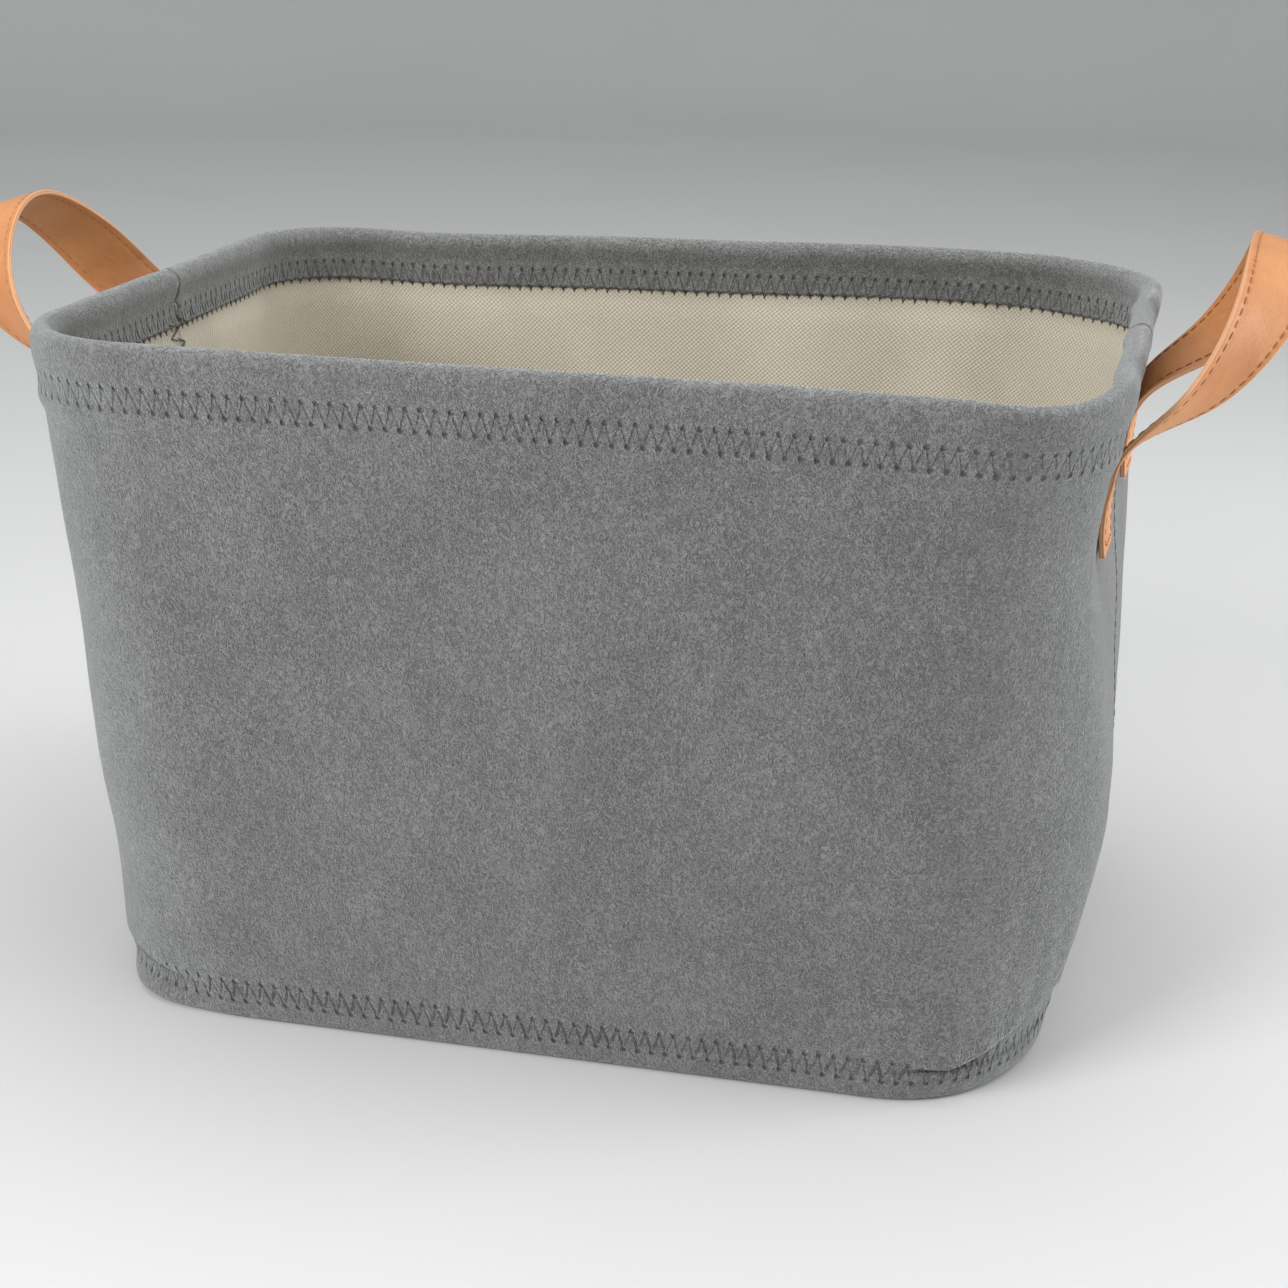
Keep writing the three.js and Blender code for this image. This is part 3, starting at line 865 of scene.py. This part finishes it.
def disc_shell(name, outer, inner, look, uv, seam=None):
    """Two discs, one above the other: closed in the middle by a fan and along the edge by a strip."""
    rings, columns = outer.shape[0], outer.shape[1]
    points = np.concatenate([sheet.transpose(1, 0, 2).reshape(-1, 3) for sheet in (outer, inner)])
    second = rings * columns
    faces = grid_quads(columns, rings, wrap=True)
    faces += [tuple(reversed(quad)) for quad in grid_quads(columns, rings, start=second, wrap=True)]
    faces += [tuple(range(rings)), tuple(second + index for index in range(rings))]
    rim = (columns - 1) * rings
    edge = [rim + index for index in range(rings)] + [rim]
    faces += [(a, b, b + second, a + second) for a, b in zip(edge, edge[1:])]
    flat_uv = np.concatenate([uv.transpose(1, 0, 2).reshape(-1, 2)] * 2)
    if seam is not None:
        seam = np.concatenate([seam.transpose(1, 0, 2).reshape(-1, 2)] * 2)
    return new_object(name, points, faces, look, flat_uv, seam)


def flat_sheets(node, inset):
    """Lower and upper face of a sheet in the base, at the heights of its CAD solid."""
    box = np.array(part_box(node)) / MM
    return [disc_rings(np.array([[inset, z]]), False) for z in (box[0][2], box[1][2])]


def build_board():
    """The stiff sheet in the base."""
    sheets = flat_sheets("base_board", BOARD_INSET)
    board = disc_shell("base_board_sheet", sheets[0], sheets[1], BOARD_LOOK, sheets[0][..., :2] * MM)
    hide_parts("base_board")
    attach(board, "bin")


def build_base_lining():
    """The cloth on the board, lifted by a few millimetre-high waves."""
    sheets = flat_sheets("base_lining", BASE_LINING_INSET)
    for sheet in sheets:
        x, y = sheet[..., 0], sheet[..., 1]
        wave = 0.5 * np.sin(x / 41.0 + 1.0) * np.sin(y / 37.0 + 0.5)
        wave += 0.3 * np.sin(x / 17.0) * np.sin(y / 23.0)
        sheet[..., 2] += np.maximum(wave, -0.1) * 0.5 + 0.1
    uv = sheets[0][..., :2] * MM
    lining = disc_shell("base_lining_cloth", sheets[0], sheets[1], LINING_LOOK, uv)
    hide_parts("base_lining")
    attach(lining, "bin")


def build_wire():
    """The rim wire, open by a small gap, and the crimped sleeve."""
    s = np.linspace(46, ROUND + 44, 700)
    path = place(s, np.full_like(s, ROLL_Z), ROLL)
    wire = tubes("rim_wire_bent", [path], [UP], [WIRE_RADIUS], 10, STEEL_LOOK)
    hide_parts("rim_wire")
    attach(wire, "bin")
    middle = 0.5 * (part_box("rim_wire_sleeve")[0][1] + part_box("rim_wire_sleeve")[1][1]) / MM
    s = np.linspace(middle - SLEEVE_HALF, middle + SLEEVE_HALF, 30)
    path = place(s, np.full_like(s, ROLL_Z), ROLL)
    crimps = hump(s, middle - 9, 3) + hump(s, middle + 9, 3)
    radius = SLEEVE_RADIUS - SLEEVE_CRIMP * crimps
    sleeve = tubes("rim_wire_sleeve_crimped", [path], [UP], [radius], 14, STEEL_LOOK)
    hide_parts("rim_wire_sleeve")
    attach(sleeve, "bin")


# Threads.

def stroke_paths(tips, low, high, surface, rise):
    """One run of zigzag: the thread dips into the cloth at each tip and lies over it between."""
    s_line, z_line, lift_line = [], [], []
    share = np.linspace(0, 1, STITCH_POINTS, endpoint=False)
    count = len(tips)
    wobble = RANDOM.uniform(-0.35, 0.35, count + 1)
    depth = RANDOM.uniform(-0.2, 0.2, count)
    for index in range(count):
        s0 = tips[index]
        s1 = tips[(index + 1) % count] + (ROUND if index == count - 1 else 0)
        z0, z1 = (high, low) if index % 2 == 0 else (low, high)
        s_line.append(lerp(s0, s1, share))
        z_line.append(lerp(z0 + wobble[index], z1 + wobble[(index + 1) % count], share))
        lift_line.append(-0.8 + (0.8 + rise + depth[index]) * np.sin(np.pi * share) ** 0.5)
    return surface(*(np.concatenate(line) for line in (s_line, z_line, lift_line)))


def outside_surface(s, z, lift):
    on_wall = smooth(8.0, 12.5, z)
    stand = wall_overhang(s, z) * (1 - fold_weight(s)) * on_wall
    stand = stand + flange_flare(s, z) * (1 - on_wall)
    return place(s, z, outer_inset(z) - lift, stand)


def hem_surface(s, z, lift):
    on_hem = smooth(HEM_EDGE_Z - 0.5, HEM_EDGE_Z + 0.5, z)
    inset = lerp(LINING[1], hem_inset(z), on_hem)
    return place(s, z, inset + np.maximum(lift, lerp(0.15, -0.8, on_hem)))


def build_ring_thread(name, node, tips, seam, surface, rise):
    path = stroke_paths(tips, seam[0], seam[1], surface, rise)
    radius = THREAD * (1 + 0.08 * np.sin(np.arange(len(path)) * 2.1))
    thread = tubes(name, [path], [UP], [radius], 6, THREAD_LOOK, closed=True)
    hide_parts(node)
    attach(thread, "bin")


def build_edge_thread():
    """The thread that binds the raw edge of the hem inside. Its dark line also serves as painted shade along
    the raw edge.
    """
    s = np.linspace(0, ROUND, 1400, endpoint=False)
    z = HEM_EDGE_Z - 0.1 + 0.25 * np.sin(s * 2 * np.pi / 5.0)
    path = place(s, z, HEM_FACE - 0.5 + 0.2 * np.cos(s * 2 * np.pi / 5.0))
    thread = tubes("hem_edge_thread", [path], [UP], [0.3], 6, THREAD_LOOK, closed=True)
    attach(thread, "bin")


def side_seam(side, inside):
    """The zigzag that joins the two halves up the middle of a short wall."""
    middle = 0.0 if side == "right" else ROUND / 2
    heights = np.arange(19.0, 219.5, STITCH)
    wobble = RANDOM.uniform(-0.3, 0.3, len(heights))
    places = middle + 3.0 * (-1.0) ** np.arange(len(heights)) + wobble
    share = np.linspace(0, 1, STITCH_POINTS, endpoint=False)
    s = np.concatenate([lerp(a, b, share) for a, b in zip(places, places[1:])])
    z = np.concatenate([lerp(a, b, share) for a, b in zip(heights, heights[1:])])
    lift = np.tile(-0.7 + 0.85 * np.sin(np.pi * share) ** 0.4, len(heights) - 1)
    if inside:
        path = place(s, z, LINING[1] + np.maximum(lift, -0.3))
    else:
        path = place(s, z, outer_inset(z) - lift, wall_overhang(s, z))
    kind = "lining_seam" if inside else "seam"
    thread = tubes(f"{side}_{kind}_zigzag", [path], [UP], [THREAD], 6, THREAD_LOOK)
    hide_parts(f"{side}_{kind}_thread")
    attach(thread, "bin")


def build_loose_threads():
    """Thread ends left hanging out of the left seam, under the hem: (along the wall, height, stand-out)."""
    bent = [
        (-9.0, 225.0, 2.4), (0.5, 223.2, 1.2), (-3.5, 220.7, 0.7),
        (-7.0, 219.3, 0.5), (0.0, 217.0, 1.3), (-3.0, 215.2, 0.6),
    ]
    tick = [(-2.0, 227.0, 2.5), (2.0, 225.4, 2.6), (6.0, 222.6, 1.0)]
    gap = [(-0.4, 238.5), (1.6, 235.6), (-1.4, 233.4), (1.2, 230.6), (-1.6, 228.2), (0.6, 225.5)]
    gap = [(along, z, float(hem_inset(z)) - LINING[1] + 0.15) for along, z in gap]
    paths = []
    for turns in (bent, tick, gap):
        corners = np.array(turns)
        at = np.linspace(0, len(turns) - 1, 6 * (len(turns) - 1) + 1)
        line = sampled(corners, np.arange(len(turns)), at)
        paths.append(place(ROUND / 2 - line[:, 0], line[:, 1], LINING[1] + line[:, 2]))
    sideways = np.array([1.0, 0.0, 0.0])
    thread = tubes("loose_thread_ends", paths, [sideways] * 3, [0.28, 0.28, 0.2], 6, THREAD_LOOK)
    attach(thread, "bin")


# Straps.

def clamped_spline(points, first_slope, last_slope, samples):
    """Smooth curve through the points with a given direction at each end, evenly sampled."""
    points = np.asarray(points, float)
    gaps = np.linalg.norm(np.diff(points, axis=0), axis=-1)
    knots = np.concatenate([[0], np.cumsum(gaps)])
    count = len(points)
    slopes = np.diff(points, axis=0) / gaps[:, None]
    system = np.zeros((count, count))
    wanted = np.zeros((count, 3))
    system[0, :2] = 2 * gaps[0], gaps[0]
    wanted[0] = 6 * (slopes[0] - first_slope)
    system[-1, -2:] = gaps[-1], 2 * gaps[-1]
    wanted[-1] = 6 * (last_slope - slopes[-1])
    for row in range(1, count - 1):
        system[row, row - 1:row + 2] = gaps[row - 1], 2 * (gaps[row - 1] + gaps[row]), gaps[row]
        wanted[row] = 6 * (slopes[row] - slopes[row - 1])
    bends = np.linalg.solve(system, wanted)
    at = np.linspace(0, knots[-1], samples)
    span = np.clip(np.searchsorted(knots, at, side="right") - 1, 0, count - 2)
    gap = gaps[span][:, None]
    left = at[:, None] - knots[span][:, None]
    right = gap - left
    curve = bends[span] * right ** 3 / (6 * gap) + bends[span + 1] * left ** 3 / (6 * gap)
    curve += (points[span] / gap - bends[span] * gap / 6) * right
    curve += (points[span + 1] / gap - bends[span + 1] * gap / 6) * left
    return curve, at, knots


def wall_leg(side, sign_y, heights):
    """Middle of the strap's thickness where it is sewn flat on the wall, and the way its width lies."""
    s = sign_y * STRAP_SPREAD if side > 0 else ROUND / 2 - sign_y * STRAP_SPREAD
    legs = place(np.full_like(heights, s), heights, -(LEG_CLEARANCE + LEATHER))
    legs[:, 1] = sign_y * STRAP_SPREAD
    reaches = (-STRAP_HALF, STRAP_HALF)
    edges = [place(np.full_like(heights, s + reach), heights, 0.0) for reach in reaches]
    across = edges[1] - edges[0]
    across[:, 2] = 0
    across *= (sign_y * np.sign(across[:, 1]) / np.linalg.norm(across, axis=-1))[:, None]
    return legs, across


def strap_path(side):
    """Centre line of the strap and the direction of its width, from its front foot to its back foot."""
    foot_heights = np.arange(STRAP_FOOT_Z, SWING_Z - 1, 2.0)
    legs = {sign: wall_leg(side, sign, foot_heights) for sign in (-1, 1)}
    tops = {sign: wall_leg(side, sign, np.array([SWING_Z]))[0][0] for sign in (-1, 1)}
    pivot = abs(JOINTS["right_handle" if side > 0 else "left_handle"]["pos_m"][0]) / MM
    knots = [(side * (pivot + out), along, SWING_Z + up) for out, along, up in LOOP_POINTS[side]]
    rise = np.array([side * 0.1, 0, 1.0])
    loop, at, knots_at = clamped_spline([tops[-1], *knots, tops[1]], rise, -rise, 160)
    near, far = TWISTS[side]
    turn = np.radians(np.interp(at, knots_at, [0, near, far, 90, far, near, 0]))
    low, high = DROOP[side]
    half_way = (low + high) / 2
    droop = np.radians(np.interp(at, knots_at, [0, low, half_way, high, half_way, low, 0]))
    relax(turn, 60)
    relax(droop, 60)
    facing = np.where(np.arange(len(at)) < len(at) // 2, -1.0, 1.0)
    across = np.stack([
        -side * np.sin(turn) * np.cos(droop), facing * np.cos(turn), np.sin(turn) * np.sin(droop),
    ], axis=-1)
    path = np.concatenate([legs[-1][0], loop, legs[1][0][::-1]])
    across = np.concatenate([legs[-1][1], across, legs[1][1][::-1]])
    return path, across


def strap_frames(side, step=1.5):
    """Even samples along the strap: centre, width direction, outward normal, distance walked."""
    path, across = strap_path(side)
    walked = distances(path)
    at = np.linspace(0, walked[-1], int(walked[-1] / step) + 1)
    path = sampled(path, walked, at)
    across = sampled(across, walked, at)
    passes = int(6 * (1.5 / step) ** 2)
    relax(path, passes)
    relax(across, passes)
    tangent = unit(np.gradient(path, axis=0))
    across = unit(across - np.einsum("ij,ij->i", across, tangent)[:, None] * tangent)
    return path, across, np.cross(tangent, across) * side, at


# One layer's outline across the strap, with a groove where each row of stitches sinks in.
SECTION = [
    (-12.5, 0.0), (-12.5, 0.6), (-12.3, 0.88), (-11.9, 1.0), (-10.6, 1.02), (-9.9, 0.86), (-9.2, 1.0),
    (-5.0, 1.06), (0.0, 1.08), (5.0, 1.06), (9.2, 1.0), (9.9, 0.86), (10.6, 1.02), (11.9, 1.0),
    (12.3, 0.88), (12.5, 0.6), (12.5, 0.0),
]
STRAP_LAYERS = (
    (1, "outer", LEATHER_LOOK, "leather"),
    (-1, "inner", SHADED_BACK_LOOK, "leather_back"),
)


def build_strap(side):
    handle = "right_handle" if side > 0 else "left_handle"
    prefix = handle.split("_")[0]
    path, across, normal, at = strap_frames(side)
    for face, layer, look, slot in STRAP_LAYERS:
        section = np.array(SECTION) * (1, face)
        curl = 0.35 * np.sin(at / 37.0 + side) * (1 - hump(at, 0, 25)) * (1 - hump(at, at[-1], 25))
        cup = curl[:, None] * (section[None, :, 0] / STRAP_HALF) ** 2
        rings = path[:, None] + section[None, :, :1] * across[:, None]
        rings = rings + (section[None, :, 1:] + cup[..., None]) * normal[:, None]
        count = len(section)
        faces = grid_quads(len(path), count, wrap=True)
        last = (len(path) - 1) * count
        faces += [tuple(range(count)), tuple(range(last, last + count))]
        uv = pairs(at[:, None] * MM, section[None, :, 0] * MM)
        strap = new_object(f"{prefix}_strap_{layer}_leather", rings, faces, look, uv)
        nodes = [f"{prefix}_strap_{part}_{layer}" for part in ("loop", "front_end", "back_end")]
        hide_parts(*nodes)
        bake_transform(strap)
    build_strap_stitches(prefix, side)


def build_strap_stitches(prefix, side):
    """Running stitches along both edges, on both faces, and across each sewn end."""
    path, across, normal, at = strap_frames(side, 0.5)
    paths, ups, radii = [], [], []

    def add_stitch(centre_line, depth_axis):
        share = np.linspace(0, 1, len(centre_line))
        dip = (0.16 - 0.42 * (2 * share - 1) ** 4)[:, None] * depth_axis
        paths.append(centre_line + dip)
        ups.append(depth_axis[len(depth_axis) // 2])
        radii.append(0.24 * (1 - 0.5 * np.abs(2 * share - 1) ** 6))

    for face in (1, -1):
        for edge in (-STITCH_LINE, STITCH_LINE):
            for begin in np.arange(3.0, at[-1] - 3.0 - STITCH_LENGTH, STITCH_PITCH):
                along = np.linspace(begin, begin + STITCH_LENGTH, STITCH_POINTS)
                line, wide, out = (sampled(data, at, along) for data in (path, across, normal))
                add_stitch(line + edge * wide + face * 0.86 * out, face * out)
    for distance in (3.0, 27.0, at[-1] - 27.0, at[-1] - 3.0):
        line, wide, out = (sampled(data, at, distance) for data in (path, across, normal))
        for begin in np.arange(-7.6, 6.0, STITCH_PITCH):
            reach = np.linspace(begin, begin + STITCH_LENGTH, STITCH_POINTS)[:, None]
            add_stitch(line + reach * wide + 1.04 * out, np.tile(out, (STITCH_POINTS, 1)))
    stitches = tubes(f"{prefix}_strap_stitching", paths, ups, radii, 6, STRAP_THREAD_LOOK)
    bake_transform(stitches)


# Thread runs round the bin: name, stitch places, heights, the surface it lies on, how far it stands up.
RING_THREADS = (
    ("rim_needle", RIM_TIPS, RIM_SEAM, outside_surface, -0.3),
    ("rim_bobbin", RIM_TIPS, RIM_SEAM_IN, hem_surface, 0.0),
    ("base_needle", BASE_TIPS, BASE_SEAM, outside_surface, 0.0),
)


def build_object():
    for half in ("front", "back"):
        build_velour(half)
        build_layer(half, "interlining", INTERLINING, FELT_LOOK)
        build_layer(half, "lining", LINING, LINING_LOOK)
    build_base()
    build_board()
    build_base_lining()
    build_wire()
    for name, tips, seam, surface, rise in RING_THREADS:
        build_ring_thread(f"{name}_zigzag", f"{name}_thread", tips, seam, surface, rise)
    for side in ("right", "left"):
        side_seam(side, False)
        side_seam(side, True)
    build_edge_thread()
    build_loose_threads()
    for side in (1, -1):
        build_strap(side)


# Camera, light and ground.

CAMERA_AZIMUTH = 12.208
CAMERA_ELEVATION = 19.138
CAMERA_ROLL = 1.036
CAMERA_DISTANCE = 854.2
CAMERA_PAN = (6.5, -13.7)
CAMERA_LENS = 61.16

# The floor: flat out to a radius, then a round cove up to a wall.
FLOOR_INNER = 800.0
FLOOR_FLAT = 3000.0
COVE_RADIUS = 900.0
WALL_TOP = 1400.0
# Lights in metres: name, position, target, size, power.
LIGHTS = (
    ("Top softbox", (0.1, 0.15, 1.5), (0, 0, 0.1), (1.6, 1.2), 12.0),
    ("Key", (-0.9, -1.3, 1.0), (0, 0, 0.12), (0.9, 0.9), 25.0),
    ("Right fill", (1.5, 0.3, 0.3), (0.15, 0, 0.12), (0.9, 0.4), 14.0),
    ("High right fill", (1.2, 0.1, 1.0), (0, 0, 0.15), (0.7, 0.7), 4.0),
)


def build_camera():
    azimuth = math.radians(CAMERA_AZIMUTH)
    elevation = math.radians(CAMERA_ELEVATION)
    roll = math.radians(CAMERA_ROLL)
    level = math.cos(elevation)
    back = Vector((math.sin(azimuth) * level, -math.cos(azimuth) * level, math.sin(elevation)))
    right = Vector((math.cos(azimuth), math.sin(azimuth), 0))
    up = back.cross(right)
    rolled_right = math.cos(roll) * right + math.sin(roll) * up
    rolled_up = -math.sin(roll) * right + math.cos(roll) * up
    centre = Vector((0, 0, HEIGHT / 2))
    position = centre + CAMERA_PAN[0] * right + CAMERA_PAN[1] * up + CAMERA_DISTANCE * back
    camera = bpy.data.objects.new("Camera", bpy.data.cameras.new("Camera"))
    turned = Matrix((rolled_right, rolled_up, back)).transposed().to_4x4()
    camera.matrix_world = Matrix.Translation(position * MM) @ turned
    camera.data.lens = CAMERA_LENS
    camera.data.sensor_width = 36.0
    camera.data.clip_start = 0.01
    SCENE.collection.objects.link(camera)
    SCENE.camera = camera


def area_light(name, position, target, size, power):
    data = bpy.data.lights.new(name, "AREA")
    data.shape = "RECTANGLE"
    data.size, data.size_y = size
    data.energy = power
    light = bpy.data.objects.new(name, data)
    direction = Vector(position) - Vector(target)
    light.rotation_euler = direction.to_track_quat("Z", "Y").to_euler()
    light.location = position
    SCENE.collection.objects.link(light)


def floor_material():
    material, tree, shader = new_material("Pale floor")
    cloud = noise_value(tree, object_vector(tree), 3.0)
    colour = mix_colour(tree, cloud, (0.60, 0.60, 0.595, 1), (0.64, 0.64, 0.635, 1))
    set_inputs(tree, shader, {"Base Color": colour, "Roughness": 0.7})
    return material


def build_floor():
    angles = np.linspace(-math.pi / 2, 0, 13)[1:]
    profile = [(FLOOR_INNER, 0.0), (FLOOR_FLAT, 0.0)]
    for angle in angles:
        out, up = math.cos(angle), 1 + math.sin(angle)
        profile.append((FLOOR_FLAT + COVE_RADIUS * out, COVE_RADIUS * up))
    profile.append((FLOOR_FLAT + COVE_RADIUS, WALL_TOP))
    around = np.linspace(0, 2 * math.pi, 96, endpoint=False)
    corners = np.array([[(r * math.cos(a), r * math.sin(a), z) for a in around] for r, z in profile])
    faces = [tuple(range(len(around)))]
    faces += [tuple(reversed(quad)) for quad in grid_quads(len(profile), len(around), wrap=True)]
    new_object("floor", corners, faces, floor_material(), closed=False)


def build_studio():
    build_floor()
    world = bpy.data.worlds.new("Studio")
    SCENE.world = world
    world.use_nodes = True
    sky = world.node_tree.nodes["Background"]
    sky.inputs["Color"].default_value = (0.93, 0.95, 0.97, 1)
    sky.inputs["Strength"].default_value = 0.53
    for light in LIGHTS:
        area_light(*light)


def set_colours():
    settings = SCENE.view_settings
    settings.view_transform = "Standard"
    settings.look = "None"


build_object()
build_camera()
build_studio()
set_colours()
